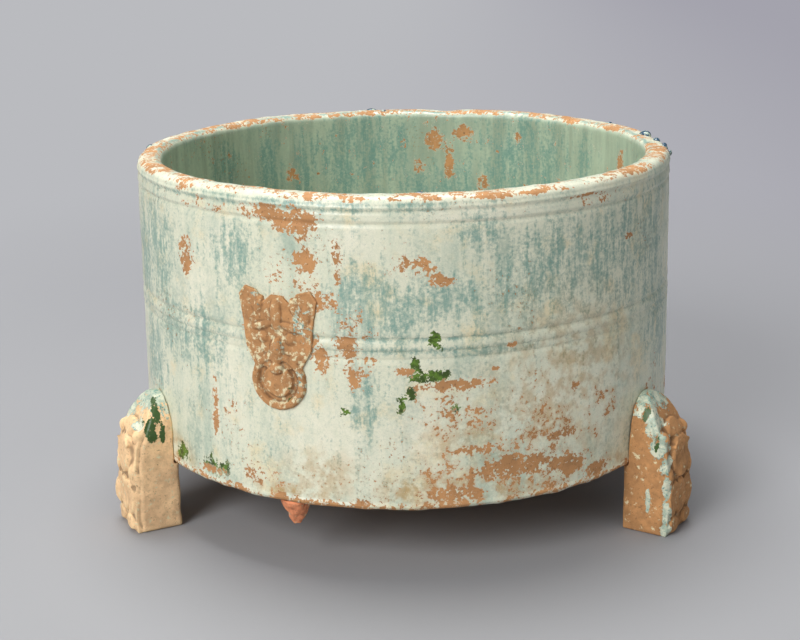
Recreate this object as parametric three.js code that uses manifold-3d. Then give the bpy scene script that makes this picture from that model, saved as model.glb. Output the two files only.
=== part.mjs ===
// Tripod cylindrical jar of glazed earthenware, millimetres, +Z up.
// A thrown wall round a slab base stands on three feet. Each foot is a hand-cut clay block luted
// to the wall, with a press-moulded crouching bear on its face. Two press-moulded animal masks
// with hanging rings are luted to opposite sides of the wall.
import * as THREE from "three";
import { mergeVertices } from "three/addons/utils/BufferGeometryUtils.js";
import Module from "manifold-3d";

const wasm = await Module();
wasm.setup();

// Driving sizes of the wall and the base
const RIM_RADIUS = 120;
const WALL_FLARE = 2; // how far the wall's foot stands out past the rim
const RIM_THICKNESS = 10.8;
const FOOT_THICKNESS = 12;
const WALL_HEIGHT = 127.8;
const BASE_CLEARANCE = 30; // from the ground to the underside of the base
const BASE_THICKNESS = 9;
const LIP_ROUNDING = 3.2;
const HEEL_ROUNDING = 2.4;
const WALL_SIDES = 72;

// Bow-string grooves, each as its distance below the rim
const SHOULDER_GROOVES = [5.8, 10.8];
const WAIST_GROOVES = [56.4, 61.6, 64.4];
const GROOVE_DEPTH = 0.8;
const GROOVE_WIDTH = 1.8;

// Feet
const FEET = { left: -60, right: 60, back: 180 }; // azimuth in degrees from the front
const BLOCK_WIDTH = 26;
const BLOCK_REACH = 16; // how far the block stands out past the wall's foot
const BLOCK_TUCK = 3; // how far it reaches in under the wall
const BLOCK_SHOULDER = 40; // height where the block starts to lean back to the wall
const BLOCK_TOP = 61;
const BLOCK_ROUNDING = 1.6;
const ARCH_RISE = 1.3; // height of the arched top as a share of half its width
const RELIEF_WIDTH = 24;
const RELIEF_PLATE = 1.6;
const BEAR_HEIGHT = 50; // from the soles to the crown between the ears

// Masks
const MASKS = { front: -22, back: 158 };
const MASK_TOP_DROP = 38.5; // from the rim down to the tips of the crest
const MASK_HEIGHT = 32;
const MASK_WIDTH = 35;
const MASK_PLATE = 1.5;
const RING_RADIUS = 10.6; // to the middle of the ring's band
const RING_BAND = 1.9;

// Clay spur left under the base
const SPUR_AZIMUTH = -21;
const SPUR_RADIUS = 7;
const SPUR_LENGTH = 12.5;

// Slip joints between pieces that touch
const LUTING = 0.3;

const GLAZE = new THREE.MeshStandardMaterial({ color: 0xbccdb9, roughness: 0.38, metalness: 0 });
const CLAY = new THREE.MeshStandardMaterial({ color: 0xb98a5c, roughness: 0.85, metalness: 0 });

const rad = THREE.MathUtils.degToRad;
const UNDERSIDE = BASE_CLEARANCE;
const RIM_HEIGHT = UNDERSIDE + WALL_HEIGHT;
const FOOT_RADIUS = RIM_RADIUS + WALL_FLARE;

// The wall's outer radius at a height
function wallRadius(z) {
  const t = THREE.MathUtils.clamp((z - UNDERSIDE) / WALL_HEIGHT, 0, 1);
  return THREE.MathUtils.lerp(FOOT_RADIUS, RIM_RADIUS, t);
}

// Solids: a geometry becomes a closed solid, and a solid a named mesh
function solid(geometry) {
  const bare = geometry.clone();
  bare.deleteAttribute("normal");
  bare.deleteAttribute("uv");
  const merged = mergeVertices(bare, 1e-4);
  return new wasm.Manifold(
    new wasm.Mesh({
      numProp: 3,
      vertProperties: new Float32Array(merged.attributes.position.array),
      triVerts: new Uint32Array(merged.index.array),
    }),
  );
}

function meshOf(name, made, material) {
  const { vertProperties, triVerts } = made.getMesh();
  const geometry = new THREE.BufferGeometry();
  geometry.setAttribute("position", new THREE.BufferAttribute(vertProperties, 3));
  geometry.setIndex(new THREE.BufferAttribute(triVerts, 1));
  geometry.computeVertexNormals();
  const mesh = new THREE.Mesh(geometry, material.clone());
  mesh.name = name;
  return mesh;
}

// A closed profile of [radius, height] pairs, anticlockwise, turned round the jar's axis
function turned(profile) {
  const points = profile.map(([r, z]) => new THREE.Vector2(r, z));
  points.push(points[0].clone());
  return new THREE.LatheGeometry(points, WALL_SIDES).rotateX(Math.PI / 2);
}

// An outline of [across, height] pairs, made a prism from one depth to another towards the front
function prismFacingFront(outline, near, far) {
  const shape = new THREE.Shape(outline.map(([x, z]) => new THREE.Vector2(x, z)));
  const prism = new THREE.ExtrudeGeometry(shape, { depth: far - near, bevelEnabled: false });
  return prism.rotateX(Math.PI / 2).translate(0, -near, 0);
}

// An outline of [radius, height] pairs, made a slab that is centred on the front
function slabAcross(outline, width, rounding) {
  const shape = new THREE.Shape(outline.map(([r, z]) => new THREE.Vector2(r, z)));
  const slab = new THREE.ExtrudeGeometry(shape, {
    depth: width - 2 * rounding,
    bevelEnabled: rounding > 0,
    bevelThickness: rounding,
    bevelSize: rounding,
    bevelOffset: -rounding,
    bevelSegments: 2,
  });
  slab.translate(0, 0, rounding - width / 2);
  return slab.applyMatrix4(new THREE.Matrix4().set(0, 0, -1, 0, -1, 0, 0, 0, 0, 1, 0, 0, 0, 0, 0, 1));
}

// A rounded lump of clay: centre across, radius and height, and half sizes the same way
function lump([x, r, z], [halfX, halfR, halfZ], tilt = 0) {
  const ball = new THREE.SphereGeometry(1, 10, 6).scale(halfX, halfR, halfZ);
  return solid(ball.rotateY(rad(tilt)).translate(x, -r, z));
}

// The same lump on both sides of the middle
function pair([x, r, z], halves, tilt = 0) {
  return [lump([x, r, z], halves, tilt), lump([-x, r, z], halves, -tilt)];
}

function joined(pieces) {
  return pieces.reduce((whole, piece) => whole.add(piece));
}

// Turns a solid that faces the front round the axis to its azimuth
function facing(made, azimuth) {
  return made.rotate([0, 0, azimuth]);
}

// Wall
function arc(centreR, centreZ, radius, from, to, steps) {
  const points = [];
  for (let i = 0; i <= steps; i++) {
    const a = rad(THREE.MathUtils.lerp(from, to, i / steps));
    points.push([centreR + radius * Math.cos(a), centreZ + radius * Math.sin(a)]);
  }
  return points;
}

function groove(drop) {
  const z = RIM_HEIGHT - drop;
  const half = GROOVE_WIDTH / 2;
  return [
    [wallRadius(z - half), z - half],
    [wallRadius(z) - GROOVE_DEPTH, z],
    [wallRadius(z + half), z + half],
  ];
}

function wallProfile() {
  const rimInner = RIM_RADIUS - RIM_THICKNESS;
  const lipZ = RIM_HEIGHT - LIP_ROUNDING;
  const drops = [...WAIST_GROOVES, ...SHOULDER_GROOVES].sort((a, b) => b - a);
  return [
    [FOOT_RADIUS - FOOT_THICKNESS, UNDERSIDE],
    ...arc(FOOT_RADIUS - HEEL_ROUNDING, UNDERSIDE + HEEL_ROUNDING, HEEL_ROUNDING, -90, 0, 3),
    ...drops.flatMap(groove),
    ...arc(wallRadius(lipZ) - LIP_ROUNDING, lipZ, LIP_ROUNDING, 0, 90, 4),
    ...arc(rimInner + LIP_ROUNDING, lipZ, LIP_ROUNDING, 90, 180, 4),
  ];
}

// The space that the wall and the base fill, grown by a slip joint, to cut what seats on them
function wallSeat() {
  return solid(
    turned([
      [0, UNDERSIDE - LUTING],
      [FOOT_RADIUS + LUTING, UNDERSIDE - LUTING],
      [RIM_RADIUS + LUTING, RIM_HEIGHT],
      [0, RIM_HEIGHT],
    ]),
  );
}

function baseDisc() {
  const radius = FOOT_RADIUS - FOOT_THICKNESS - LUTING;
  return solid(
    turned([
      [0, UNDERSIDE],
      [radius, UNDERSIDE],
      [radius, UNDERSIDE + BASE_THICKNESS],
      [0, UNDERSIDE + BASE_THICKNESS],
    ]),
  );
}

// Foot block: its outline from the side, with its face grown outwards by a gap where asked
const BLOCK_FACE = FOOT_RADIUS + BLOCK_REACH;

function blockFace(grow) {
  const lean = BLOCK_TOP - BLOCK_SHOULDER;
  return [
    [BLOCK_FACE - 0.5 + grow, 0],
    [BLOCK_FACE + grow, 8],
    [BLOCK_FACE - 0.5 + grow, BLOCK_SHOULDER * 0.75],
    [BLOCK_FACE - 2 + grow, BLOCK_SHOULDER],
    [BLOCK_FACE - BLOCK_REACH * 0.45 + grow, BLOCK_SHOULDER + lean * 0.5],
    [FOOT_RADIUS + 2.5 + grow, BLOCK_TOP],
  ];
}

function blockOutline() {
  return [
    [FOOT_RADIUS - BLOCK_TUCK, 0],
    ...blockFace(0),
    [FOOT_RADIUS - BLOCK_TUCK, BLOCK_TOP],
  ];
}

// The foot seen from the front, with straight sides and an arched top
function footArch(width) {
  const half = width / 2;
  const spring = BLOCK_TOP - half * ARCH_RISE;
  const crown = arc(0, 0, half, 0, 180, 8).map(([x, z]) => [x, spring + z * ARCH_RISE]);
  return solid(prismFacingFront([[-half, 0], [half, 0], ...crown], 0, BLOCK_FACE + 20));
}

function footBlock() {
  const slab = solid(slabAcross(blockOutline(), BLOCK_WIDTH, BLOCK_ROUNDING));
  return slab.intersect(footArch(BLOCK_WIDTH)).subtract(wallSeat());
}

// Press-moulded bear: it squats with its paws on its knees and bears the jar on its shoulders
function bearPlate() {
  const back = blockFace(LUTING);
  const front = blockFace(LUTING + RELIEF_PLATE).reverse();
  return solid(slabAcross([...back, ...front], RELIEF_WIDTH, 0)).intersect(footArch(RELIEF_WIDTH));
}

function bearRelief() {
  const face = BLOCK_FACE + LUTING;
  const up = BEAR_HEIGHT / 50;
  const bear = joined([
    bearPlate(),
    lump([0, face - 0.6, 34.5 * up], [9.6, 5.0, 10.2 * up]),
    lump([0, face - 3.6, 45 * up], [7.4, 4.4, 5.6 * up]),
    lump([0, face + 1.0, 30.5 * up], [5.0, 4.0, 4.6 * up]),
    lump([0, face + 3.2, 33.4 * up], [2.4, 1.9, 1.7 * up]),
    lump([0, face + 1.9, 27.2 * up], [3.4, 2.1, 1.5 * up]),
    ...pair([9.2, face - 3.0, 43.6 * up], [3.0, 3.2, 3.6 * up], 20),
    ...pair([4.4, face + 2.6, 37.6 * up], [1.9, 1.8, 1.7 * up]),
    ...pair([4.8, face + 2.2, 40.4 * up], [3.2, 1.7, 1.2 * up], 14),
    ...pair([9.4, face - 0.8, 26.0 * up], [3.4, 3.4, 6.8 * up], -10),
    ...pair([6.6, face + 1.4, 21.2 * up], [3.7, 3.2, 2.9 * up], 12),
    lump([0, face - 0.4, 16.0 * up], [7.0, 5.6, 9.2 * up]),
    ...pair([8.6, face - 0.2, 14.6 * up], [4.0, 5.0, 7.2 * up], 8),
    ...pair([6.8, face - 0.2, 4.4 * up], [5.0, 4.6, 4.2 * up]),
  ]);
  const halfWidth = BLOCK_WIDTH / 2 + 4;
  const clay = prismFacingFront(
    [
      [-halfWidth, 0],
      [halfWidth, 0],
      [halfWidth, BLOCK_TOP],
      [-halfWidth, BLOCK_TOP],
    ],
    FOOT_RADIUS,
    BLOCK_FACE + 20,
  );
  const behind = [[0, 0], ...blockFace(LUTING), [0, BLOCK_TOP]];
  const block = solid(slabAcross(behind, 4 * BLOCK_WIDTH, 0));
  return bear.intersect(solid(clay)).subtract(block).subtract(wallSeat());
}

// Press-moulded animal mask with its ring, luted to the wall
function maskOutline(top) {
  const half = MASK_WIDTH / 2;
  const side = [
    [0.14, 0.06],
    [0.34, 0.16],
    [0.52, 0.02],
    [0.84, -0.02],
    [1.0, 0.1],
    [0.9, 0.42],
    [0.84, 0.74],
    [0.62, 0.96],
    [0.24, 1.0],
  ];
  const right = side.map(([x, drop]) => [x * half, top - drop * MASK_HEIGHT]);
  const left = right.map(([x, z]) => [-x, z]);
  return [...left, ...right.reverse()];
}

function bentRing(centreZ, radius, band, depth, at) {
  const ring = new THREE.TorusGeometry(radius, band, 6, 24).scale(1, 1, depth / band);
  ring.rotateX(Math.PI / 2).translate(0, -at, centreZ);
  return solid(bentToWall(ring, at));
}

// Bends a geometry that faces the front so that its across runs along the wall
function bentToWall(geometry, at) {
  const position = geometry.attributes.position;
  for (let i = 0; i < position.count; i++) {
    const angle = position.getX(i) / at;
    const r = -position.getY(i);
    position.setXY(i, r * Math.sin(angle), -r * Math.cos(angle));
  }
  return geometry;
}

function mask() {
  const top = RIM_HEIGHT - MASK_TOP_DROP;
  const ringZ = top - MASK_HEIGHT - RING_RADIUS + 5.5;
  const wall = wallRadius(top - MASK_HEIGHT / 2);
  const face = wall + LUTING + MASK_PLATE;
  const shell = solid(
    turned([
      [FOOT_RADIUS - FOOT_THICKNESS, UNDERSIDE],
      [FOOT_RADIUS + LUTING + MASK_PLATE, UNDERSIDE],
      [RIM_RADIUS + LUTING + MASK_PLATE, RIM_HEIGHT],
      [RIM_RADIUS - RIM_THICKNESS, RIM_HEIGHT],
    ]),
  );
  const plate = solid(prismFacingFront(maskOutline(top), wall - 8, wall + 8)).intersect(shell);
  const at = (share) => top - share * MASK_HEIGHT;
  const pieces = [
    plate,
    lump([0, face - 0.6, at(0.3)], [2.6, 2.2, 7.5]),
    lump([0, face, at(0.78)], [3.1, 3.2, 6.4]),
    lump([0, face + 1.2, at(0.98)], [3.0, 2.6, 2.6]),
    ...pair([6.4, face - 0.9, at(0.45)], [5.6, 2.0, 1.7], 16),
    ...pair([6.2, face - 0.9, at(0.6)], [2.6, 2.3, 2.5]),
    ...pair([8.2, face - 1.6, at(0.84)], [4.2, 2.2, 3.2], -18),
    ...pair([12.6, face - 1.9, at(0.3)], [2.6, 2.2, 5.4], 14),
    ...pair([8.0, face - 1.4, at(0.2)], [2.0, 2.0, 4.4], -16),
    bentRing(ringZ, RING_RADIUS, RING_BAND, 1.9, wall + LUTING + 0.9),
    discOnWall(ringZ, RING_RADIUS + RING_BAND * 0.6, 0.9, wall + LUTING),
    discOnWall(ringZ, RING_RADIUS - RING_BAND - 1.6, 2.3, wall + LUTING),
  ];
  return joined(pieces).subtract(wallSeat());
}

function discOnWall(centreZ, radius, depth, at) {
  const disc = new THREE.CylinderGeometry(radius, radius * 0.88, depth, 24, 1);
  disc.translate(0, -(at + depth / 2), centreZ);
  return solid(bentToWall(disc, at));
}

// Clay spur under the wall's foot, left from firing
function claySpur() {
  const length = Math.min(SPUR_LENGTH, BASE_CLEARANCE - 4);
  const cone = new THREE.CylinderGeometry(SPUR_RADIUS, SPUR_RADIUS * 0.22, length, 10, 3);
  cone.rotateX(Math.PI / 2);
  const r = FOOT_RADIUS - SPUR_RADIUS - 1;
  return solid(cone.translate(0, -r, UNDERSIDE - LUTING - length / 2));
}

const jar = new THREE.Group();
jar.add(meshOf("vessel_wall", solid(turned(wallProfile())), GLAZE));
jar.add(meshOf("base_disc", baseDisc(), GLAZE));
for (const [side, azimuth] of Object.entries(FEET)) {
  jar.add(meshOf(`foot_block_${side}`, facing(footBlock(), azimuth), CLAY));
  jar.add(meshOf(`bear_relief_${side}`, facing(bearRelief(), azimuth), CLAY));
}
for (const [side, azimuth] of Object.entries(MASKS)) {
  jar.add(meshOf(`mask_${side}`, facing(mask(), azimuth), GLAZE));
}
jar.add(meshOf("clay_spur", facing(claySpur(), SPUR_AZIMUTH), CLAY));

// The part's frame has its origin on the ground, under the middle of the whole outline
const box = new THREE.Box3().setFromObject(jar);
const middle = box.getCenter(new THREE.Vector3());
jar.children.forEach((mesh) => mesh.geometry.translate(-middle.x, -middle.y, 0));

export default jar;
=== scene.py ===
import math
import random

import bpy
import numpy as np
from mathutils import Matrix, Vector, noise


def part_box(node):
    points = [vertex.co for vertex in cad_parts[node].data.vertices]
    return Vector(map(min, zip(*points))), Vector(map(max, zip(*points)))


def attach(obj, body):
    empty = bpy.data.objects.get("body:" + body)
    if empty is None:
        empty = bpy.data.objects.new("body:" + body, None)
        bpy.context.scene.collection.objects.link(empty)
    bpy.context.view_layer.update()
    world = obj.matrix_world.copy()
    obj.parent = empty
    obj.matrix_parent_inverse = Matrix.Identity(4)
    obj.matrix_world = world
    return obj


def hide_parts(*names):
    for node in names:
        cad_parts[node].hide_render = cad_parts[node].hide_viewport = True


bl_info = {
    "name": "Tripod Cylindrical Jar",
    "version": (1, 0, 0),
    "blender": (4, 5, 0),
    "location": "View3D > Sidebar > Jar",
    "description": "Dresses a glazed earthenware tripod jar with its glaze, flakes, feet and masks",
    "category": "Object",
}

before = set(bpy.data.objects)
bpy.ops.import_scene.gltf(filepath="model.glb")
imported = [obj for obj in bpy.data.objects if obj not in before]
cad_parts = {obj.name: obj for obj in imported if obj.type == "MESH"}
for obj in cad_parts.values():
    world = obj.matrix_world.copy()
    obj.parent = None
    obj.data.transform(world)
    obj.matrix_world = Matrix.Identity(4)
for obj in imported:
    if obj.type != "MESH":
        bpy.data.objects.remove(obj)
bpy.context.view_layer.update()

MM = 0.001
BODY = "root"

# Places that the frame gives: the jar's own axis, its foot and its rim
WALL_LOW, WALL_HIGH = (Vector(corner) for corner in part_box("vessel_wall"))
AXIS = Vector(((WALL_LOW.x + WALL_HIGH.x) / 2, (WALL_LOW.y + WALL_HIGH.y) / 2, 0.0))
FOOT_RADIUS = (WALL_HIGH.x - WALL_LOW.x) / 2
UNDERSIDE = WALL_LOW.z
RIM_Z = WALL_HIGH.z
FLOOR_RADIUS = (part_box("base_disc")[1][0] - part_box("base_disc")[0][0]) / 2
FLOOR_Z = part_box("base_disc")[1][2]
FEET = {"left": -60.0, "right": 60.0, "back": 180.0}
MASKS = {"front": -22.0, "back": 158.0}

# The camera that matches the photograph, and the last column of pixels where its outer wall is seen
PHOTO_WIDTH, PHOTO_HEIGHT = 800, 640
LENS, SENSOR = 65.35, 36.0
CAMERA_AT = Vector((0.0319, AXIS.y - 0.6592, 0.2668))
CAMERA_YAW, CAMERA_DIP, CAMERA_ROLL = 3.0, 16.25, -0.872
LAST_COLUMN = 664

# Patches seen on the outer wall, each as centre x and y, half width and half height in pixels
CLAY_SEEN = [
    (262, 212, 31, 11), (297, 224, 23, 20), (303, 262, 16, 16), (185, 257, 7, 22), (180, 187, 6, 5),
    (336, 262, 5, 32), (416, 263, 17, 7), (441, 281, 16, 8), (588, 195, 17, 3), (326, 304, 12, 13),
    (262, 333, 16, 31), (301, 343, 21, 9), (320, 358, 9, 18), (458, 385, 41, 7), (405, 372, 10, 6),
    (515, 467, 42, 16), (594, 468, 15, 11), (478, 449, 28, 7), (455, 493, 36, 11), (216, 405, 3, 34),
    (645, 407, 3, 32), (630, 236, 5, 5), (215, 469, 12, 7), (291, 496, 22, 4), (575, 385, 5, 7),
    (512, 345, 5, 4), (560, 434, 16, 5),
]
BLUE_SEEN = [
    (510, 290, 5, 42), (532, 280, 6, 51), (553, 270, 6, 51), (577, 262, 6, 46), (603, 255, 7, 52),
    (628, 250, 6, 53), (650, 240, 5, 56), (345, 310, 9, 42), (372, 305, 12, 35), (400, 310, 10, 30),
    (430, 300, 12, 30), (460, 300, 10, 30), (158, 250, 5, 61), (175, 330, 9, 30), (205, 340, 8, 32),
    (231, 250, 10, 31), (420, 351, 56, 4), (365, 400, 6, 40), (480, 230, 10, 26), (500, 350, 21, 4),
    (250, 205, 94, 3), (345, 205, 78, 3), (412, 340, 52, 3), (186, 309, 19, 2), (186, 322, 19, 2),
]
GREEN_SEEN = [
    (436, 341, 6, 12), (429, 377, 19, 8), (400, 404, 5, 12), (344, 412, 5, 8), (456, 408, 5, 6),
    (283, 498, 9, 4), (216, 466, 12, 13), (185, 452, 5, 10), (415, 367, 5, 10), (411, 393, 4, 11),
]
STAIN_SEEN = [
    (440, 492, 53, 22), (514, 478, 51, 22), (296, 494, 44, 11), (395, 503, 18, 6), (598, 469, 24, 12),
    (290, 395, 8, 10), (640, 448, 9, 20), (544, 424, 38, 18),
]
MILKY_SEEN = [
    (330, 450, 64, 50), (560, 400, 57, 37), (420, 435, 35, 47), (230, 380, 25, 63), (350, 240, 30, 25),
    (480, 215, 60, 12), (620, 396, 22, 44), (195, 290, 24, 42), (218, 244, 19, 34), (160, 382, 8, 40),
]
# Patches chosen on the jar itself, each as azimuth in degrees, height, half width and half height in mm
CLAY_PLACED = [
    (35, 42, 12, 6.4), (-9, 98, 6, 8), (-58, 34, 9.4, 8.5), (-66, 40, 7, 10), (66, 38, 7, 9),
    (20, 88, 2.2, 1.6), (-7, 84, 2, 3),
]
BLUE_PLACED = [(-67, 120, 7, 26), (-63, 74, 7, 20), (70, 90, 7, 24)]
STAIN_PLACED = [(-52, 36, 12, 8)]
# Wider areas where only small flakes of the glaze are gone, and where it has turned yellow
FLECKED = [
    (-19, 120, 16, 16), (-9, 104, 16, 18), (-6, 90, 11, 12), (-33, 66, 9, 6), (12, 70, 26, 12),
    (30, 58, 30, 14), (44, 62, 16, 14), (10, 46, 20, 9), (-25, 40, 20, 7), (30, 38, 40, 8),
    (-62, 48, 10, 22), (66, 56, 10, 26), (4, 132, 16, 9), (44, 150, 20, 4), (-40, 150, 20, 4),
    (120, 90, 40, 20), (150, 45, 50, 12), (215, 60, 40, 18), (190, 120, 30, 14), (250, 110, 26, 18),
]
YELLOWED = [(36, 76, 36, 34), (14, 58, 20, 16), (-14, 44, 16, 10), (150, 70, 40, 26), (220, 60, 30, 20)]
# The same on the inner wall, which the photograph shows in part
INNER_CLAY = [
    (174, 142, 5, 9), (170, 132, 4, 14), (166, 146, 7, 6), (179, 128, 6, 5), (110, 140, 5, 12),
    (103, 128, 6, 7), (160, 120, 5, 8), (215, 128, 5, 4), (150, 146, 4, 3), (118, 118, 5, 6),
]
INNER_BLUE = [
    (196, 134, 26, 30), (148, 134, 28, 30), (170, 110, 40, 20),
    (200, 140, 9, 16), (191, 128, 6, 24), (184, 140, 5, 18), (152, 132, 6, 22), (140, 128, 7, 26),
    (127, 134, 6, 20), (222, 130, 8, 24), (238, 134, 10, 20), (212, 120, 5, 26), (96, 130, 8, 22),
]
# On the lip, each as azimuth, radius, half width and half depth in mm
LIP_BLUE = [(-38, 112, 22, 2.4), (-18, 111.5, 18, 2.2), (30, 112, 14, 1.2), (-64, 112, 14, 2.0)]
LIP_CLAY = [
    (-84, 115, 20, 6), (-6, 118.5, 12, 1.8), (82, 115, 16, 5), (178, 114, 34, 2.6), (150, 117, 22, 2.0),
    (206, 117, 26, 1.8), (112, 116, 18, 2.4), (28, 119, 12, 1.6), (-104, 113, 16, 3),
]
LIP_CHIPS = [(172, 114, 9, 5), (-86, 117, 6, 4), (100, 118, 5, 3)]
# On the floor, each as azimuth, radius and half width
FLOOR_CLAY = [(30, 50, 16), (150, 80, 14), (260, 40, 18), (340, 90, 12)]
FLOOR_BLUE = [(80, 60, 26), (210, 70, 30)]
FLOOR_STAIN = [(190, 30, 40)]
# Glaze beads on the lip: azimuth, radius, width and height in mm
LIP_BEADS = [
    (191, 117, 5.4, 2.0), (-92, 117.5, 4.6, 2.0), (122, 117, 4.2, 1.9), (104, 116.5, 6.0, 2.6),
    (96, 117, 3.8, 1.9), (92, 119, 3.2, 1.8), (88, 118, 3.6, 2.0), (85, 120, 2.6, 1.5),
    (6, 111.5, 3.2, 1.5), (-96, 115, 3.0, 1.5), (188, 113, 2.8, 1.2),
]

# Ellipsoids of glaze on the feet: across, radius, height and half sizes in mm, from each foot's middle
FOOT_GLAZE = {
    "left": [(0, 126, 64, 22, 14, 15), (8, 136, 50, 7, 4, 4), (-8, 128, 50, 8, 9, 8)],
    "right": [
        (-12, 133, 52, 9, 6, 8), (-12, 135, 42, 8, 5, 8), (-12, 138, 33, 6, 2.6, 6),
        (-12, 139, 22, 5, 2.0, 9), (-12, 139.2, 11, 5, 2.4, 8), (-12, 139, 3, 6, 2.6, 5),
        (0, 126, 64, 22, 12, 14), (-13, 131, 15, 3, 1.4, 7),
    ],
    "back": [(6, 128, 56, 12, 7, 9), (11, 138, 40, 5, 3, 14), (-9, 136, 20, 4, 3, 9)],
}
FOOT_GREEN = {
    "left": [(12, 127.5, 57, 9, 2.4, 11), (12, 131, 47, 9, 3.0, 7), (13, 126, 45, 6, 1.6, 6)],
    "right": [(-12, 128, 55, 6, 2.0, 5), (-12, 134, 43, 4, 1.4, 5)],
    "back": [(4, 128, 54, 6, 3, 5)],
}

# The same on each mask
MASK_GLAZE = [
    (10, 124, 80, 4, 9, 10), (12, 124, 108, 8, 9, 12), (-6, 124, 117, 8, 9, 4), (2, 124, 98, 4, 9, 3),
]
MASK_GREEN = [(5, 124, 77, 2, 9, 4.5)]

# Where the marks lie through the wall, and how deep they reach, in mm
OUTSIDE_AT, OUTSIDE_REACH = 121, 9
INSIDE_AT, INSIDE_REACH = 109, 8
LIP_REACH = 3
FLOOR_REACH = 8
MID_WALL = 114.5
HEEL_OUTSIDE = 116
LIP_FRINGE = 111.6
HIDDEN_SIDE = (80, 280)

# The wall's section
LIP_ROUND = 3.6 * MM
HEEL_ROUND = 2.4 * MM
SHOULDER_BAND = 16 * MM
FINE_STEP = 0.72 * MM
COARSE_STEP = 1.5 * MM
INNER_ROWS = 62
# Each groove's drop from the rim in mm, and its share of the full depth
GROOVES = ((5.8, 0.8), (10.8, 1.0), (56.4, 1.0), (61.6, 0.9), (64.4, 0.7))
GROOVE_HALF_WIDTH = 0.75
GROOVE_BANK = 0.35

# How far the noise has to rise for a mark to show, and the crazing's cells to a metre
FLAKE_LEVEL = 1.56
POOL_LEVEL = 1.49
RUN_LEVEL = 1.50
PINE_LEVEL = 1.52
CRAZING = 620.0

# Lamps as name, place, size and power, all aimed at the middle of the jar
LAMPS = (
    ("key_lamp", (-1.0, -1.5, 1.15), 1.1, 33.0),
    ("fill_lamp", (1.4, -1.3, 0.9), 1.4, 1.5),
    ("top_lamp", (-0.15, 0.30, 1.6), 0.9, 24.0),
)
LAMPS_AIM = Vector((0, 0, 0.08))


def paint(red, green, blue):
    """A colour as Blender's linear values, from its usual 0 to 255 ones."""
    def linear(value):
        value /= 255
        return value / 12.92 if value <= 0.04045 else ((value + 0.055) / 1.055) ** 2.4
    return (linear(red), linear(green), linear(blue), 1.0)


def shade(colour, amount):
    """A colour made that much darker or lighter."""
    return tuple(min(1.0, value * amount) for value in colour[:3]) + (1.0,)


def colour_property(name, description, red, green, blue):
    return bpy.props.FloatVectorProperty(
        name=name, description=description, subtype="COLOR", size=4, min=0, max=1,
        default=paint(red, green, blue))


def length_property(name, description, millimetres):
    return bpy.props.FloatProperty(
        name=name, description=description, unit="LENGTH", min=0, default=millimetres * MM)


class JarGlazeSettings(bpy.types.PropertyGroup):
    """Colours of the glaze"""
    pale: colour_property("Pale glaze", "The glaze where it is thin", 220, 221, 196)
    cream: colour_property("Cream glaze", "The glaze where it has yellowed", 224, 212, 172)
    sage: colour_property("Sage glaze", "The glaze where it is thicker", 176, 192, 172)
    teal: colour_property("Teal runs", "Speckled runs in the glaze", 98, 146, 136)
    milky: colour_property("Milky bloom", "The silvery bloom of buried glaze", 244, 238, 216)
    jade: colour_property("Jade clouds", "Darker clouds in the glaze", 140, 166, 150)
    inner: colour_property("Inner glaze", "The glaze on the inner wall", 180, 194, 168)
    leaf: colour_property("Leaf green", "Unweathered pools of glaze", 78, 106, 30)
    pine: colour_property("Pine green", "Thick dark glaze on the left foot", 34, 66, 50)
    ochre: colour_property("Ochre stain", "Stains low on the wall", 182, 138, 64)
    bead: colour_property("Bead glass", "Drops of thick glaze on the lip", 58, 84, 104)


class JarClaySettings(bpy.types.PropertyGroup):
    """Colours of the fired clay"""
    tan: colour_property("Tan clay", "Clay that shows through the glaze", 178, 130, 84)
    light: colour_property("Light clay", "The left foot", 232, 192, 146)
    brown: colour_property("Brown clay", "The other feet", 184, 134, 86)
    orange: colour_property("Orange clay", "The spur under the base", 214, 136, 96)


class JarShapeSettings(bpy.types.PropertyGroup):
    """Sizes that the photograph's jar shows"""
    lip: length_property("Lip", "Thickness of the wall at the rim", 10.8)
    heel: length_property("Wall at the foot", "Thickness of the wall at its foot", 12.0)
    flare: length_property("Flare", "How far the wall's foot stands out past the rim", 2.0)
    groove: length_property("Groove", "Depth of a bow-string groove", 0.75)
    wobble: length_property("Wobble", "How far the thrown wall strays from round", 0.45)
    steps: bpy.props.IntProperty(
        name="Steps", description="Steps round the thrown wall", default=480, min=48)


def settings():
    scene = bpy.context.scene
    return scene.jar_glaze, scene.jar_clay, scene.jar_shape


# Modelling helpers

def deselect():
    if bpy.context.object and bpy.context.object.mode != "OBJECT":
        bpy.ops.object.mode_set(mode="OBJECT")
    bpy.ops.object.select_all(action="DESELECT")


def make_active(piece):
    deselect()
    piece.select_set(True)
    bpy.context.view_layer.objects.active = piece


def edit(piece):
    make_active(piece)
    bpy.ops.object.mode_set(mode="EDIT")
    bpy.ops.mesh.select_all(action="SELECT")


def thrown(name, profile, steps, closed=True):
    """A profile of (radius, height) points in metres, spun round the jar's axis."""
    mesh = bpy.data.meshes.new(name)
    last = len(profile) - 1
    edges = [(i, i + 1) for i in range(last)]
    if closed:
        edges.append((last, 0))
    points = [(AXIS.x, AXIS.y - radius, height) for radius, height in profile]
    mesh.from_pydata(points, edges, [])
    piece = bpy.data.objects.new(name, mesh)
    bpy.context.collection.objects.link(piece)
    edit(piece)
    bpy.ops.mesh.spin(steps=steps, angle=2 * math.pi, center=AXIS, axis=(0, 0, 1))
    bpy.ops.mesh.select_all(action="SELECT")
    bpy.ops.mesh.remove_doubles(threshold=1e-6)
    bpy.ops.mesh.normals_make_consistent(inside=False)
    bpy.ops.object.mode_set(mode="OBJECT")
    return piece


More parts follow.
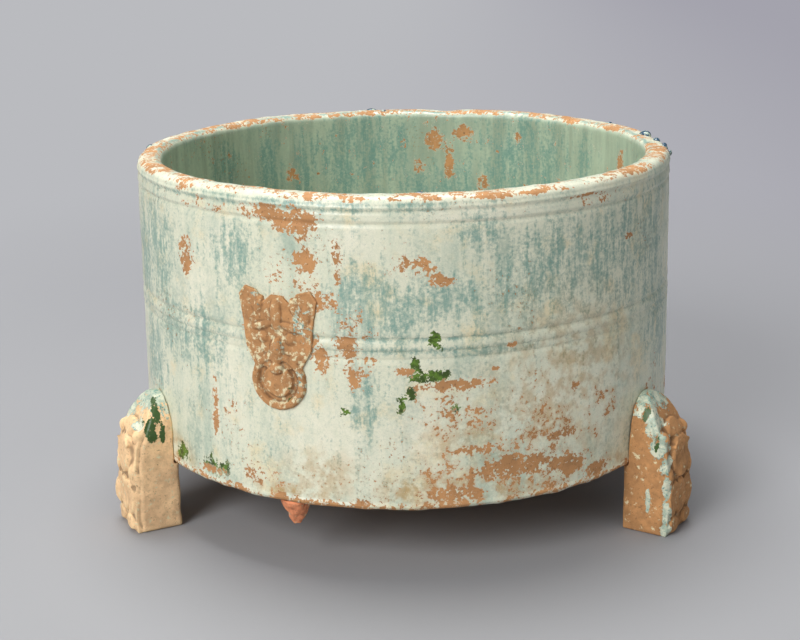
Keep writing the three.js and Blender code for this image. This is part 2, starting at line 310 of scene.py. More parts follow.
def moulded(name, nodes, voxel, rounds):
    """The CAD solids as one softened lump of clay."""
    copies = []
    for node in nodes:
        copy = bpy.data.objects.new(name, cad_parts[node].data.copy())
        bpy.context.collection.objects.link(copy)
        copies.append(copy)
    deselect()
    for copy in copies:
        copy.select_set(True)
    bpy.context.view_layer.objects.active = copies[0]
    if len(copies) > 1:
        bpy.ops.object.join()
    piece = bpy.context.object
    piece.name = name
    piece.data.materials.clear()
    edit(piece)
    bpy.ops.mesh.remove_doubles(threshold=1e-6)
    bpy.ops.object.mode_set(mode="OBJECT")
    remesh = piece.modifiers.new("clay", "REMESH")
    remesh.mode = "VOXEL"
    remesh.voxel_size = voxel
    bpy.ops.object.modifier_apply(modifier="clay")
    soften = piece.modifiers.new("soften", "SMOOTH")
    soften.factor = 0.5
    soften.iterations = rounds
    bpy.ops.object.modifier_apply(modifier="soften")
    return piece


def smooth_shading(piece):
    make_active(piece)
    bpy.ops.object.shade_smooth()


def coordinates(piece):
    co = np.empty(len(piece.data.vertices) * 3)
    piece.data.vertices.foreach_get("co", co)
    return co.reshape(-1, 3)


def set_coordinates(piece, co):
    piece.data.vertices.foreach_set("co", co.ravel())
    piece.data.update()


def normals(piece):
    out = np.empty(len(piece.data.vertices) * 3)
    piece.data.vertex_normals.foreach_get("vector", out)
    return out.reshape(-1, 3)


def polar(co):
    """Azimuth from the front in degrees, radius and height in millimetres."""
    x = co[:, 0] - AXIS.x
    y = co[:, 1] - AXIS.y
    return np.degrees(np.arctan2(x, -y)), np.hypot(x, y) / MM, co[:, 2] / MM


def grain(co, scale, seed, stretch=(1, 1, 1)):
    """Smooth noise at each point, about -1 to 1, with its size in millimetres."""
    points = co / (scale * MM) * np.array(stretch) + seed * 7.31
    return np.array([noise.noise(Vector(point)) for point in points])


def ramp(values, low, high):
    t = np.clip((values - low) / (high - low), 0, 1)
    return t * t * (3 - 2 * t)


def store(piece, name, values):
    attribute = piece.data.attributes.new(name, "FLOAT", "POINT")
    attribute.data.foreach_set("value", values.astype(np.float32))


def patches(places, spots):
    """How deep each point lies in the nearest patch: 1 in its middle and 0 at about its edge."""
    azimuth, radius, height = places
    total = np.zeros(len(azimuth))
    for spot_azimuth, spot_radius, spot_height, half_w, half_r, half_h in spots:
        turn = (azimuth - spot_azimuth + 180) % 360 - 180
        across = np.radians(turn) * spot_radius
        d2 = (across / half_w) ** 2 + ((radius - spot_radius) / half_r) ** 2
        d2 += ((height - spot_height) / half_h) ** 2
        total = np.maximum(total, ramp(-np.sqrt(d2), -1.6, -0.3))
    return total


def camera_matrix():
    """The place and turn of the camera that matches the photograph."""
    yaw = Matrix.Rotation(math.radians(CAMERA_YAW), 4, "Z")
    pitch = Matrix.Rotation(math.radians(90 - CAMERA_DIP), 4, "X")
    roll = Matrix.Rotation(math.radians(CAMERA_ROLL), 4, "Z")
    return Matrix.Translation(CAMERA_AT) @ yaw @ pitch @ roll


def seen_on_wall(x, y):
    """Azimuth in degrees and height in millimetres of the outer wall at a pixel of the photograph."""
    focal = LENS / SENSOR * PHOTO_WIDTH
    camera = camera_matrix()
    ray = camera.to_3x3() @ Vector((x - PHOTO_WIDTH / 2, PHOTO_HEIGHT / 2 - y, -focal))
    start = camera.translation - AXIS
    a = ray.x ** 2 + ray.y ** 2
    b = start.x * ray.x + start.y * ray.y
    c = start.x ** 2 + start.y ** 2 - (OUTSIDE_AT * MM) ** 2
    point = start + ray * (-b - math.sqrt(max(b * b - a * c, 0.0))) / a
    return math.degrees(math.atan2(point.x, -point.y)), point.z / MM


def in_photo(ellipses):
    """Patches on the outer wall, from ellipses seen in the photograph."""
    spots = []
    for x, y, half_w, half_h in ellipses:
        azimuth, z = seen_on_wall(x, y)
        side, _z = seen_on_wall(min(x + half_w, LAST_COLUMN), y)
        _azimuth, low = seen_on_wall(x, y + half_h)
        across = math.radians(abs(side - azimuth)) * OUTSIDE_AT
        spots.append((azimuth, z, max(across, 1.5), abs(low - z)))
    return spots


def on_outside(spots, spread=1.0):
    return [(azimuth, OUTSIDE_AT, z, w * spread, OUTSIDE_REACH, h) for azimuth, z, w, h in spots]


def on_inside(spots):
    return [(azimuth, INSIDE_AT, z, w, INSIDE_REACH, h) for azimuth, z, w, h in spots]


def on_floor(spots):
    return [(azimuth, radius, FLOOR_Z / MM, w, w, FLOOR_REACH) for azimuth, radius, w in spots]


def on_lip(spots):
    return [(azimuth, radius, RIM_Z / MM, w, depth, LIP_REACH) for azimuth, radius, w, depth in spots]


def inside_share(radius, height):
    """1 on the inner wall and 0 elsewhere, with a short blend at the lip."""
    return ramp(-radius, -111.8, -110.6) * (1 - ramp(height, 155.6, 157.0))


def cavity(piece, co, rounds):
    """How far each point lies under its smoothed surroundings, in millimetres."""
    edges = np.empty(len(piece.data.edges) * 2, dtype=int)
    piece.data.edges.foreach_get("vertices", edges)
    a, b = edges.reshape(-1, 2).T
    count = np.bincount(np.r_[a, b], minlength=len(co))[:, None]
    mean = co.copy()
    for _ in range(rounds):
        total = np.zeros_like(mean)
        np.add.at(total, a, mean[b])
        np.add.at(total, b, mean[a])
        mean = total / np.maximum(count, 1)
    return ((mean - co) * normals(piece)).sum(axis=1) / MM


# Material helpers

def new_material(name):
    material = bpy.data.materials.new(name)
    material.use_nodes = True
    return material, material.node_tree, material.node_tree.nodes["Principled BSDF"]


def node(tree, kind, values=(), **options):
    made = tree.nodes.new(kind)
    for name, value in options.items():
        setattr(made, name, value)
    for name, value in dict(values).items():
        if isinstance(value, bpy.types.NodeSocket):
            tree.links.new(value, made.inputs[name])
        else:
            made.inputs[name].default_value = value
    return made


def maths(tree, operation, first, second=0.0):
    made = node(tree, "ShaderNodeMath", {0: first, 1: second}, operation=operation)
    return made.outputs[0]


def blend(tree, amount, first, second):
    made = node(tree, "ShaderNodeMix", {0: amount, 6: first, 7: second}, data_type="RGBA")
    return made.outputs[2]


def step(tree, value, low, high):
    made = node(
        tree, "ShaderNodeMapRange", {"Value": value, "From Min": low, "From Max": high},
        interpolation_type="SMOOTHSTEP")
    return made.outputs["Result"]


def stored(tree, name):
    return node(tree, "ShaderNodeAttribute", attribute_name=name).outputs["Fac"]


def place(tree, stretch=(1, 1, 1)):
    coords = node(tree, "ShaderNodeTexCoord").outputs["Object"]
    return node(tree, "ShaderNodeMapping", {"Vector": coords, "Scale": stretch}).outputs["Vector"]


def speckle(tree, size, detail=4.0, stretch=(1, 1, 1), rough=0.6):
    """Noise whose features are about that many millimetres across."""
    values = {"Vector": place(tree, stretch), "Scale": 1000 / size, "Detail": detail, "Roughness": rough}
    return node(tree, "ShaderNodeTexNoise", values).outputs["Fac"]


def weighted(tree, *pairs):
    """The sum of some values, each times its weight."""
    shares = [maths(tree, "MULTIPLY", value, weight) for value, weight in pairs]
    total = shares[0]
    for share in shares[1:]:
        total = maths(tree, "ADD", total, share)
    return total


def layer(tree, colour, mask, strength, over):
    """A colour with another laid over it where the mask is, at that strength."""
    return blend(tree, maths(tree, "MULTIPLY", mask, strength), colour, over)


def ragged(tree, attribute, fine, coarse, level):
    """A patch's mask with a ragged edge, from its stored depth and two noises."""
    total = weighted(tree, (stored(tree, attribute), 0.64), (fine, 0.9), (coarse, 1.25))
    return step(tree, total, level, level + 0.06)


def clay_colour(tree, colour):
    """Fired clay with fine grit, darker iron specks and paler washes."""
    wash = blend(tree, step(tree, speckle(tree, 9), 0.35, 0.68), tuple(colour), shade(colour, 1.28))
    grit = blend(tree, step(tree, speckle(tree, 1.4), 0.56, 0.72), wash, shade(colour, 0.62))
    return blend(tree, step(tree, speckle(tree, 0.7), 0.66, 0.72), grit, shade(colour, 0.3))


def glaze_tones(tree, glaze, noises):
    """The glaze's own colour: pale, sage and cream mottling, darker inside, with bloom over both."""
    runs, mottle, fine, _coarse = noises
    tone = weighted(tree, (runs, 0.6), (speckle(tree, 30, 3), 0.4))
    colour = blend(tree, step(tree, tone, 0.46, 0.70), tuple(glaze.pale), tuple(glaze.sage))
    colour = blend(tree, step(tree, speckle(tree, 14, 4), 0.5, 0.72), colour, tuple(glaze.cream))
    worn = step(tree, speckle(tree, 1.1, 6, rough=0.8), 0.42, 0.66)
    colour = layer(tree, colour, worn, 0.35, tuple(glaze.milky))
    inner = blend(tree, step(tree, runs, 0.36, 0.66), tuple(glaze.inner), shade(glaze.inner, 0.72))
    colour = blend(tree, stored(tree, "inside"), colour, inner)
    moss = weighted(tree, (speckle(tree, 22, 6, (1, 1, 0.5), 0.7), 0.7), (fine, 0.3))
    colour = layer(tree, colour, step(tree, moss, 0.48, 0.66), 0.62, tuple(glaze.jade))
    bloom = maths(tree, "MULTIPLY", stored(tree, "milky"), step(tree, mottle, 0.2, 0.75))
    return layer(tree, colour, bloom, 0.55, tuple(glaze.milky))


def glaze_marks(tree, glaze, noises, colour):
    """Teal runs, stains, dots, crazing and green pools laid over the glaze's own colour."""
    _runs, mottle, fine, coarse = noises
    threads = speckle(tree, 2.6, 5, (1, 1, 0.16), 0.7)
    streaky = weighted(tree, (threads, 1.2), (fine, 0.9), (coarse, 0.5), (stored(tree, "blue"), 0.30))
    colour = layer(tree, colour, step(tree, streaky, 1.34, 1.80), 0.78, tuple(glaze.teal))
    stain = maths(tree, "MULTIPLY", stored(tree, "stain"), step(tree, coarse, 0.38, 0.62))
    colour = layer(tree, colour, stain, 0.85, tuple(glaze.ochre))
    dots = step(tree, speckle(tree, 0.9, 2), 0.68, 0.74)
    colour = layer(tree, colour, dots, 0.4, shade(glaze.sage, 0.7))
    cells = node(
        tree, "ShaderNodeTexVoronoi", {"Vector": place(tree), "Scale": CRAZING}, feature="DISTANCE_TO_EDGE")
    crack = maths(tree, "SUBTRACT", 1.0, step(tree, cells.outputs["Distance"], 0.0, 0.05))
    colour = layer(tree, colour, crack, 0.16, shade(glaze.sage, 0.5))
    green = blend(tree, step(tree, mottle, 0.4, 0.6), shade(glaze.leaf, 0.5), shade(glaze.leaf, 1.5))
    return blend(tree, ragged(tree, "pool", fine, coarse, POOL_LEVEL), colour, green)


def glaze_surface(name, glaze, clay):
    """Weathered lead glaze over clay: runs, bloom, stains, pools, crazing and flakes down to the clay."""
    material, tree, shader = new_material(name)
    runs = speckle(tree, 7, 5, (1, 1, 0.12))
    mottle = speckle(tree, 3.2, 5)
    fine = speckle(tree, 1.5, 5, rough=0.7)
    coarse = speckle(tree, 6, 4)
    noises = (runs, mottle, fine, coarse)
    colour = glaze_marks(tree, glaze, noises, glaze_tones(tree, glaze, noises))

    chips = step(tree, weighted(tree, (fine, 1.0), (stored(tree, "chips"), 0.1)), 0.71, 0.73)
    bare = maths(tree, "MAXIMUM", ragged(tree, "clay", fine, coarse, FLAKE_LEVEL), chips)
    fringe = ragged(tree, "clay", fine, coarse, FLAKE_LEVEL - 0.05)
    colour = layer(tree, colour, fringe, 0.45, tuple(glaze.milky))
    colour = blend(tree, bare, colour, clay_colour(tree, clay.tan))
    tree.links.new(colour, shader.inputs["Base Color"])

    gloss = maths(tree, "ADD", maths(tree, "MULTIPLY", step(tree, mottle, 0.3, 0.7), 0.22), 0.28)
    rough = maths(tree, "MAXIMUM", gloss, maths(tree, "MULTIPLY", bare, 0.88))
    tree.links.new(rough, shader.inputs["Roughness"])
    shader.inputs["Coat Weight"].default_value = 0.08
    shader.inputs["Coat Roughness"].default_value = 0.3
    bump(tree, shader, weighted(tree, (mottle, 0.35), (bare, -0.6), (fine, 0.25)), 0.5, 0.35)
    return material


def bump(tree, shader, height, strength, depth):
    made = node(tree, "ShaderNodeBump", {"Strength": strength, "Distance": depth * MM, "Height": height})
    tree.links.new(made.outputs["Normal"], shader.inputs["Normal"])


def clay_surface(name, colour, glaze, bareness=0.58):
    """Bare moulded clay, darkened in its hollows by painted shade and dirt and lightened on its ridges by a
    painted highlight, with runs of glaze where it is stored.
    """
    material, tree, shader = new_material(name)
    fine = speckle(tree, 1.3, 5, rough=0.7)
    coarse = speckle(tree, 5, 4)
    under = stored(tree, "cavity")
    patchy = step(tree, speckle(tree, 4, 6, rough=0.75), 0.40, 0.66)
    body = layer(tree, clay_colour(tree, colour), patchy, 0.5, shade(colour, 0.66))
    left_glaze = step(tree, speckle(tree, 3, 5, rough=0.7), bareness, bareness + 0.08)
    body = blend(tree, left_glaze, body, tuple(glaze.cream))
    # Painted shade and dirt: the clay is darkened in its hollows.
    body = layer(tree, body, step(tree, under, 0.01, 0.22), 0.8, shade(colour, 0.32))
    # Painted highlight: the clay is lightened on its ridges.
    painted_ridge_highlight = step(tree, maths(tree, "MULTIPLY", under, -1.0), 0.05, 0.4)
    body = layer(tree, body, painted_ridge_highlight, 0.45, shade(colour, 1.5))

    run = ragged(tree, "run", fine, coarse, RUN_LEVEL)
    tint = blend(tree, step(tree, coarse, 0.42, 0.6), tuple(glaze.sage), tuple(glaze.pale))
    tint = blend(tree, step(tree, fine, 0.52, 0.66), tint, tuple(glaze.teal))
    pine = ragged(tree, "pine", fine, coarse, PINE_LEVEL)
    dark = blend(tree, fine, tuple(glaze.pine), tuple(glaze.leaf))
    finish = blend(tree, pine, blend(tree, run, body, tint), dark)
    tree.links.new(finish, shader.inputs["Base Color"])
    covered = maths(tree, "MAXIMUM", run, pine)
    rough = maths(tree, "SUBTRACT", 0.88, maths(tree, "MULTIPLY", covered, 0.5))
    tree.links.new(rough, shader.inputs["Roughness"])
    bump(tree, shader, weighted(tree, (fine, 0.5), (covered, 0.5), (coarse, 0.4)), 0.6, 0.4)
    return material


def bead_surface(name, glaze):
    """Dark drops of thick glass with a paler weathered skin in patches."""
    material, tree, shader = new_material(name)
    skin = step(tree, speckle(tree, 2.2), 0.48, 0.62)
    tree.links.new(blend(tree, skin, tuple(glaze.bead), tuple(glaze.sage)), shader.inputs["Base Color"])
    tree.links.new(maths(tree, "ADD", maths(tree, "MULTIPLY", skin, 0.3), 0.14), shader.inputs["Roughness"])
    bump(tree, shader, speckle(tree, 1.2), 0.3, 0.2)
    return material


def paper_surface(name):
    """Grey paper with a faint tooth. Away from the jar the camera sees it glow grey instead, with painted
    lamp falloff that makes it darker to the right.
    """
    material, tree, shader = new_material(name)
    tone = step(tree, speckle(tree, 900, 2), 0.3, 0.7)
    paper = blend(tree, tone, paint(148, 148, 151), paint(154, 154, 156))
    tree.links.new(paper, shader.inputs["Base Color"])
    shader.inputs["Roughness"].default_value = 0.9
    bump(tree, shader, speckle(tree, 2), 0.05, 0.1)
    away = node(tree, "ShaderNodeVectorMath", {0: place(tree, (1, 0.75, 1))}, operation="LENGTH")
    side = node(tree, "ShaderNodeSeparateXYZ", {0: place(tree)})
    # Painted lamp falloff: the glowing grey is darker to the right.
    painted_falloff_rightward = step(tree, side.outputs["X"], -0.25, 0.7)
    grey = blend(tree, painted_falloff_rightward, paint(186, 187, 191), paint(164, 163, 173))
    glow = node(tree, "ShaderNodeEmission", {"Color": grey, "Strength": 1.0})
    seen = node(tree, "ShaderNodeLightPath").outputs["Is Camera Ray"]
    share = maths(tree, "MULTIPLY", seen, step(tree, away.outputs["Value"], 0.17, 0.62))
    mixed = node(tree, "ShaderNodeMixShader", {0: share, 1: shader.outputs[0], 2: glow.outputs[0]})
    tree.links.new(mixed.outputs[0], tree.nodes["Material Output"].inputs["Surface"])
    return material


# Pieces

def groove_depth(z):
    """How deep the bow-string grooves are cut at a height in millimetres, as a share of full depth."""
    total = 0.0
    for drop, share in GROOVES:
        offset = (z - (RIM_Z / MM - drop)) / GROOVE_HALF_WIDTH
        total += share * (math.exp(-offset * offset) - GROOVE_BANK * math.exp(-((offset - 2.1) ** 2)))
    return total


def quarter(centre, size, start, count):
    """Points along a quarter circle, from a starting angle in degrees."""
    turns = [math.radians(start + 90 * i / (count - 1)) for i in range(count)]
    return [(centre[0] + size * math.cos(turn), centre[1] + size * math.sin(turn)) for turn in turns]


def wall_profile(shape):
    """The wall's section: heel, grooved outside, rounded lip and inside, in metres."""
    rim_radius = FOOT_RADIUS - shape.flare
    inner = rim_radius - shape.lip
    low_inner = FOOT_RADIUS - shape.heel
    lip_low = RIM_Z - LIP_ROUND
    points = quarter((FOOT_RADIUS - HEEL_ROUND, UNDERSIDE + HEEL_ROUND), HEEL_ROUND, -90, 6)
    height = UNDERSIDE + HEEL_ROUND
    while height < lip_low:
        share = (height - UNDERSIDE) / (RIM_Z - UNDERSIDE)
        radius = FOOT_RADIUS - shape.flare * share - shape.groove * groove_depth(height / MM)
        points.append((radius, height))
        detailed = groove_depth(height / MM) > 0.02 or height > RIM_Z - SHOULDER_BAND
        height += FINE_STEP if detailed else COARSE_STEP
    points += quarter((rim_radius - LIP_ROUND, lip_low), LIP_ROUND, 0, 8)
    points += quarter((inner + LIP_ROUND, lip_low), LIP_ROUND, 90, 8)
    for i in range(1, INNER_ROWS + 1):
        share = i / INNER_ROWS
        points.append((inner + (low_inner - inner) * share, lip_low - share * (lip_low - UNDERSIDE)))
    return points


def scattered(rng, count, *limits):
    """Patches at random for the side that the photograph doesn't show."""
    return [tuple(rng.uniform(*pair) for pair in limits) for _ in range(count)]


class JAR_OT_wall(bpy.types.Operator):
    """Throws the wall, lets it wander as a hand-thrown wall does, and glazes it"""
    bl_idname = "jar.wall"
    bl_label = "Jar wall"

    def execute(self, context):
        glaze, clay, shape = settings()
        piece = thrown("jar_wall", wall_profile(shape), shape.steps)
        places = self.weather(piece, shape)
        self.mark(piece, places)
        smooth_shading(piece)
        piece.data.materials.append(glaze_surface("weathered_glaze", glaze, clay))
        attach(piece, BODY)
        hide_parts("vessel_wall")
        return {"FINISHED"}

    @staticmethod
    def weather(piece, shape):
        """Bends the turned wall by the given amounts, and gives each point's place before that."""
        co = coordinates(piece)
        azimuth, radius, height = polar(co)
        wander = grain(co, 70, 1) * shape.wobble
        wander += grain(co, 16, 2) * 0.22 * MM + grain(co, 5, 3) * 0.07 * MM
        runs = grain(co, 9, 4, (1, 1, 0.1)) * 0.12 * MM
        rings = np.sin(height / 2.4) * 0.05 * MM
        out = (co - np.array(AXIS)) * np.array([1, 1, 0])
        out /= np.maximum(np.linalg.norm(out, axis=1), 1e-9)[:, None]
        facing = np.where(radius > MID_WALL, 1.0, -0.8)
        co += out * ((wander + runs + rings) * facing)[:, None]
        top = ramp(height, 148, 157)
        co[:, 2] += top * (grain(co, 45, 5) * 0.7 + grain(co, 7, 6) * 0.3) * MM
        co[:, 2] -= patches((azimuth, radius, height), on_lip(LIP_CHIPS)) * 0.9 * MM
        foot = 1 - ramp(height, 30.5, 34)
        co[:, 2] -= foot * np.maximum(grain(co, 6, 7), 0) * (radius > HEEL_OUTSIDE) * 0.8 * MM
        set_coordinates(piece, co)
        return azimuth, radius, height

    def mark(self, piece, places):
        """Stores how strongly each kind of mark shows at each point."""
        co = coordinates(piece)
        _azimuth, radius, height = places
        rng = random.Random(41)
        hidden = [self.hidden_spot(rng) for _ in range(34)]
        lip = ramp(height, 154.5, 156.5)
        heel = (1 - ramp(height, 31.6, 38.0)) * (radius > HEEL_OUTSIDE)
        inside = inside_share(radius, height)

        clay_spots = on_outside(in_photo(CLAY_SEEN) + CLAY_PLACED + hidden, 1.3)
        depths = [patches(places, clay_spots + on_inside(INNER_CLAY) + on_lip(LIP_CLAY))]
        depths.append(patches(places, on_outside(FLECKED)) * 0.66)
        depths.append(inside * 0.36)
        depths.append(lip * (0.74 + 0.40 * grain(co, 14, 12)))
        depths.append(heel * (0.85 + 0.3 * grain(co, 20, 13)))
        store(piece, "clay", np.clip(np.maximum.reduce(depths), 0, 1))

        streaks = scattered(rng, 26, HIDDEN_SIDE, (85, 140), (2, 7), (12, 26))
        blue_spots = on_outside(in_photo(BLUE_SEEN) + BLUE_PLACED + streaks, 2.4)
        blue = patches(places, blue_spots + on_inside(INNER_BLUE) + on_lip(LIP_BLUE))
        fringe = lip * np.exp(-(((radius - LIP_FRINGE) / 1.3) ** 2)) * (1.7 + 0.9 * grain(co, 18, 14))
        store(piece, "blue", np.clip(np.maximum(blue, fringe), 0, 2.2))

        pools = scattered(rng, 7, (90, 270), (34, 100), (2, 5), (2, 5))
        store(piece, "pool", patches(places, on_outside(in_photo(GREEN_SEEN) + pools, 1.3)))
        stains = scattered(rng, 6, (90, 270), (32, 44), (8, 20), (3, 7))
        stain = patches(places, on_outside(in_photo(STAIN_SEEN) + STAIN_PLACED + stains))
        store(piece, "stain", np.maximum(stain, patches(places, on_outside(YELLOWED)) * 0.55))
        blooms = scattered(rng, 10, (85, 275), (40, 140), (12, 28), (8, 24))
        milky = patches(places, on_outside(in_photo(MILKY_SEEN) + blooms))
        store(piece, "milky", np.maximum(milky, lip * 0.5))
        store(piece, "inside", inside)
        store(piece, "chips", ramp(grain(co, 30, 9), 0.0, 0.4))

    @staticmethod
    def hidden_spot(rng):
        low = rng.random() < 0.45
        height = rng.uniform(32, 58) if low else rng.uniform(70, 150)
        return (rng.uniform(76, 284), height, rng.uniform(3, 15), rng.uniform(2, 7))


class JAR_OT_floor(bpy.types.Operator):
    """Makes the slab base, with a low swell and finger rings on its inner face"""
    bl_idname = "jar.floor"
    bl_label = "Jar floor"

    def execute(self, context):
        glaze, clay, _shape = settings()
        reach = FLOOR_RADIUS + 0.8 * MM
        profile = [(0.05 * MM, UNDERSIDE + 0.3 * MM)]
        profile += [(reach * i / 12, UNDERSIDE + 0.3 * MM) for i in range(1, 13)]
        for i in range(60, 0, -1):
            share = i / 60
            swell = 0.5 * MM * math.cos(share * math.pi / 2) + 0.12 * MM * math.sin(share * 70)
            profile.append((reach * share, FLOOR_Z - 0.2 * MM + swell))
        profile.append((0.05 * MM, FLOOR_Z + 0.3 * MM))
        piece = thrown("jar_floor", profile, 160)
        co = coordinates(piece)
        azimuth, radius, height = polar(co)
        co[:, 2] += grain(co, 24, 11) * 0.25 * MM
        set_coordinates(piece, co)
        places = (azimuth, radius, height)
        upper = ramp(height, 33, 36)
        store(piece, "clay", np.maximum(patches(places, on_floor(FLOOR_CLAY)), 1 - upper))
        store(piece, "blue", patches(places, on_floor(FLOOR_BLUE)))
        store(piece, "stain", patches(places, on_floor(FLOOR_STAIN)))
        for name in ("pool", "milky"):
            store(piece, name, np.zeros(len(co)))
        store(piece, "inside", upper)
        store(piece, "chips", np.ones(len(co)))
        smooth_shading(piece)
        piece.data.materials.append(glaze_surface("floor_glaze", glaze, clay))
        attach(piece, BODY)
        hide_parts("base_disc")
        return {"FINISHED"}


def local(co, azimuth):
    """Across, radius and height in millimetres, seen square on at an azimuth."""
    turn = math.radians(azimuth)
    x = co[:, 0] - AXIS.x
    y = co[:, 1] - AXIS.y
    across = x * math.cos(turn) + y * math.sin(turn)
    radius = x * math.sin(turn) - y * math.cos(turn)
    return across / MM, radius / MM, co[:, 2] / MM


def ellipsoids(places, spots):
    total = np.zeros(len(places[0]))
    for spot in spots:
        d2 = sum(((place - centre) / half) ** 2 for place, centre, half in zip(places, spot[:3], spot[3:]))
        total = np.maximum(total, ramp(-np.sqrt(d2), -1.5, -0.4))
    return total


class JAR_OT_feet(bpy.types.Operator):
    """Models the three bear feet, each a clay block with its moulded bear pressed on"""
    bl_idname = "jar.feet"
    bl_label = "Bear feet"

    def execute(self, context):
        glaze, clay, _shape = settings()
        light = clay_surface("light_foot_clay", clay.light, glaze)
        brown = clay_surface("brown_foot_clay", clay.brown, glaze)
        for seed, (side, azimuth) in enumerate(FEET.items()):
            nodes = (f"foot_block_{side}", f"bear_relief_{side}")
            piece = moulded(f"bear_foot_{side}", nodes, 0.5 * MM, 5)
            co = coordinates(piece)
            across, radius, height = local(co, azimuth)
            self.pare(co, azimuth, radius, height)
            set_coordinates(piece, co)
            keep = ramp(height, 0.4, 3.0)
            relief = ramp(radius, 136.5, 139.5)
            fur = grain(co, 1.8, 30 + seed, (1, 1, 0.4)) * 0.2 * relief
            lumps = grain(co, 9, 20 + seed) * (0.5 + 0.9 * relief) + grain(co, 3, 24 + seed) * 0.12
            co += normals(piece) * ((fur + lumps) * keep * MM)[:, None]
            set_coordinates(piece, co)
            store(piece, "cavity", cavity(piece, co, 10))
            store(piece, "run", ellipsoids((across, radius, height), FOOT_GLAZE[side]))
            store(piece, "pine", ellipsoids((across, radius, height), FOOT_GREEN[side]))
            smooth_shading(piece)
            piece.data.materials.append(light if side == "left" else brown)
            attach(piece, BODY)
            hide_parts(*nodes)
        return {"FINISHED"}

    @staticmethod
    def pare(co, azimuth, radius, height):
        """Trims the top of a foot so that it leans back to the wall."""
        shoulder = FOOT_RADIUS / MM + 19.0 * (1 - ramp(height, 38.0, 70.0))
        pared = np.clip(radius - shoulder, 0, None) * 0.9 * MM
        turn = math.radians(azimuth)
        co[:, 0] -= pared * math.sin(turn)
        co[:, 1] += pared * math.cos(turn)


class JAR_OT_masks(bpy.types.Operator):
    """Models the two animal masks with their rings, worn soft and partly bare of glaze"""
    bl_idname = "jar.masks"
    bl_label = "Animal masks"

    def execute(self, context):
        glaze, clay, _shape = settings()
        surface = clay_surface("mask_clay", clay.tan, glaze, 0.53)
        for seed, (side, azimuth) in enumerate(MASKS.items()):
            piece = moulded(f"ring_mask_{side}", (f"mask_{side}",), 0.34 * MM, 2)
            co = coordinates(piece)
            across, radius, height = local(co, azimuth)
            flat = np.hypot(co[:, 0] - AXIS.x, co[:, 1] - AXIS.y) / MM
            sink = 0.5 + 0.22 * np.clip(flat - 123.0, 0, None)
            out = (co - np.array(AXIS)) * np.array([1, 1, 0]) / (flat * MM)[:, None]
            co -= out * (sink * MM)[:, None]
            worn = grain(co, 4, 50 + seed) * 0.2 + grain(co, 1.5, 52 + seed) * 0.08
            co += normals(piece) * (worn * MM)[:, None]
            set_coordinates(piece, co)
            store(piece, "cavity", cavity(piece, co, 10))
            store(piece, "run", ellipsoids((across, radius, height), MASK_GLAZE) * 0.6)
            store(piece, "pine", ellipsoids((across, radius, height), MASK_GREEN) * 0.7)
            smooth_shading(piece)
            piece.data.materials.append(surface)
            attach(piece, BODY)
            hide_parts(f"mask_{side}")
        return {"FINISHED"}


class JAR_OT_spur(bpy.types.Operator):
    """Models the broken stump of clay under the base"""
    bl_idname = "jar.spur"
    bl_label = "Clay spur"

    def execute(self, context):
        glaze, clay, _shape = settings()
        piece = moulded("clay_stump", ("clay_spur",), 0.5 * MM, 4)
        co = coordinates(piece)
        co += normals(piece) * ((grain(co, 5, 60) * 1.3 + grain(co, 2, 61) * 0.4) * MM)[:, None]
        co[:, 2] = np.minimum(co[:, 2], UNDERSIDE + 0.8 * MM)
        set_coordinates(piece, co)
        store(piece, "cavity", cavity(piece, co, 8))
        store(piece, "run", np.zeros(len(co)))
        store(piece, "pine", np.zeros(len(co)))
        smooth_shading(piece)
        piece.data.materials.append(clay_surface("orange_clay", clay.orange, glaze))
        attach(piece, BODY)
        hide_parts("clay_spur")
        return {"FINISHED"}


class JAR_OT_beads(bpy.types.Operator):
    """Sets the drops of thick glaze along the lip, where the jar was fired upside down"""
    bl_idname = "jar.beads"
    bl_label = "Glaze beads"

    def execute(self, context):
        glaze, _clay, _shape = settings()
        made = []
        for seed, (azimuth, radius, width, tall) in enumerate(LIP_BEADS):
            turn = math.radians(azimuth)
            drop = (0.9 + max(0.0, radius - 116.5) * 0.45) * MM
            centre = AXIS + Vector((math.sin(turn), -math.cos(turn), 0)) * radius * MM
            centre.z = RIM_Z - drop
            deselect()
            bpy.ops.mesh.primitive_uv_sphere_add(segments=24, ring_count=14, radius=1, location=centre)
            bead = bpy.context.object
            bead.scale = (width / 1.6 * MM, width / 2.2 * MM, tall / 1.15 * MM)
            bead.rotation_euler.z = turn
            bpy.ops.object.transform_apply(location=True, rotation=True, scale=True)
            made.append(bead)
        deselect()
        for bead in made:
            bead.select_set(True)
        bpy.context.view_layer.objects.active = made[0]
        bpy.ops.object.join()
        piece = bpy.context.object
        piece.name = "glaze_beads"
        co = coordinates(piece)
        co += normals(piece) * (grain(co, 2.5, 71) * 0.35 * MM)[:, None]
        set_coordinates(piece, co)
        smooth_shading(piece)
        piece.data.materials.append(bead_surface("bead_glass", glaze))
        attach(piece, BODY)
        return {"FINISHED"}


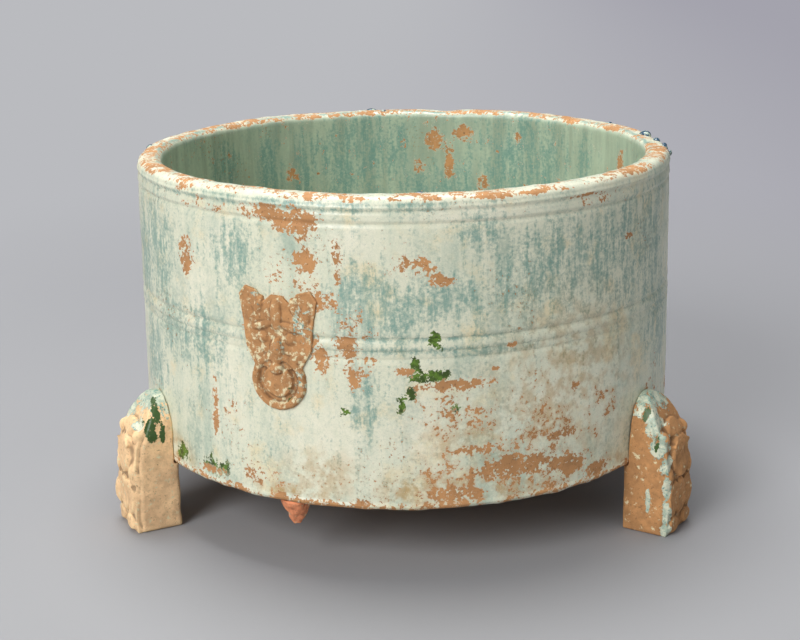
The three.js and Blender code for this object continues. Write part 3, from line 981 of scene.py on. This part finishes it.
class JAR_OT_stage(bpy.types.Operator):
    """Lays the pale paper sweep, sets the soft lamps and the camera"""
    bl_idname = "jar.stage"
    bl_label = "Stage"

    def execute(self, context):
        self.sweep()
        self.lamps()
        self.camera()
        return {"FINISHED"}

    @staticmethod
    def sweep():
        """The floor and, far behind, the upright sheet."""
        half, near, far, tall = 4.0, -2.4, 5.6, 4.0
        points = [(-half, near, 0), (half, near, 0), (half, far, 0), (-half, far, 0)]
        points += [(half, far, tall), (-half, far, tall)]
        mesh = bpy.data.meshes.new("paper_sweep")
        mesh.from_pydata(points, [], [(0, 1, 2, 3), (3, 2, 4, 5)])
        floor = bpy.data.objects.new("paper_sweep", mesh)
        bpy.context.collection.objects.link(floor)
        mesh.materials.append(paper_surface("backdrop_paper"))

    @staticmethod
    def lamps():
        world = bpy.data.worlds.new("studio")
        bpy.context.scene.world = world
        world.use_nodes = True
        background = world.node_tree.nodes["Background"]
        background.inputs["Color"].default_value = (0.93, 0.96, 1.0, 1.0)
        background.inputs["Strength"].default_value = 0.31
        for name, place_at, size, power in LAMPS:
            deselect()
            bpy.ops.object.light_add(type="AREA", location=place_at)
            lamp = bpy.context.object
            lamp.name = name
            lamp.data.shape = "DISK"
            lamp.data.size = size
            lamp.data.energy = power
            lamp.rotation_euler = (LAMPS_AIM - Vector(place_at)).to_track_quat("-Z", "Y").to_euler()

    @staticmethod
    def camera():
        data = bpy.data.cameras.new("camera")
        data.sensor_width = SENSOR
        data.lens = LENS
        data.clip_start = 0.01
        camera = bpy.data.objects.new("camera", data)
        bpy.context.collection.objects.link(camera)
        camera.matrix_world = camera_matrix()
        bpy.context.scene.camera = camera
        bpy.context.scene.view_settings.view_transform = "Standard"


class JAR_PT_panel(bpy.types.Panel):
    """Lists the jar's operators and settings"""
    bl_label = "Tripod jar"
    bl_idname = "JAR_PT_panel"
    bl_space_type = "VIEW_3D"
    bl_region_type = "UI"
    bl_category = "Jar"

    def draw(self, context):
        for operator in OPERATORS:
            self.layout.operator(operator.bl_idname)
        for group, kind in GROUPS.items():
            box = self.layout.box()
            for name in kind.__annotations__:
                box.prop(getattr(context.scene, group), name)


OPERATORS = (JAR_OT_stage, JAR_OT_wall, JAR_OT_floor, JAR_OT_feet, JAR_OT_masks, JAR_OT_spur, JAR_OT_beads)
GROUPS = {"jar_glaze": JarGlazeSettings, "jar_clay": JarClaySettings, "jar_shape": JarShapeSettings}


def register():
    for cls in (*GROUPS.values(), *OPERATORS, JAR_PT_panel):
        bpy.utils.register_class(cls)
    for name, group in GROUPS.items():
        setattr(bpy.types.Scene, name, bpy.props.PointerProperty(type=group))


def unregister():
    for name in GROUPS:
        delattr(bpy.types.Scene, name)
    for cls in (JAR_PT_panel, *reversed(OPERATORS), *reversed(list(GROUPS.values()))):
        bpy.utils.unregister_class(cls)


def main():
    register()
    bpy.ops.jar.stage()
    bpy.ops.jar.wall()
    bpy.ops.jar.floor()
    bpy.ops.jar.feet()
    bpy.ops.jar.masks()
    bpy.ops.jar.spur()
    bpy.ops.jar.beads()


if __name__ == "__main__":
    main()
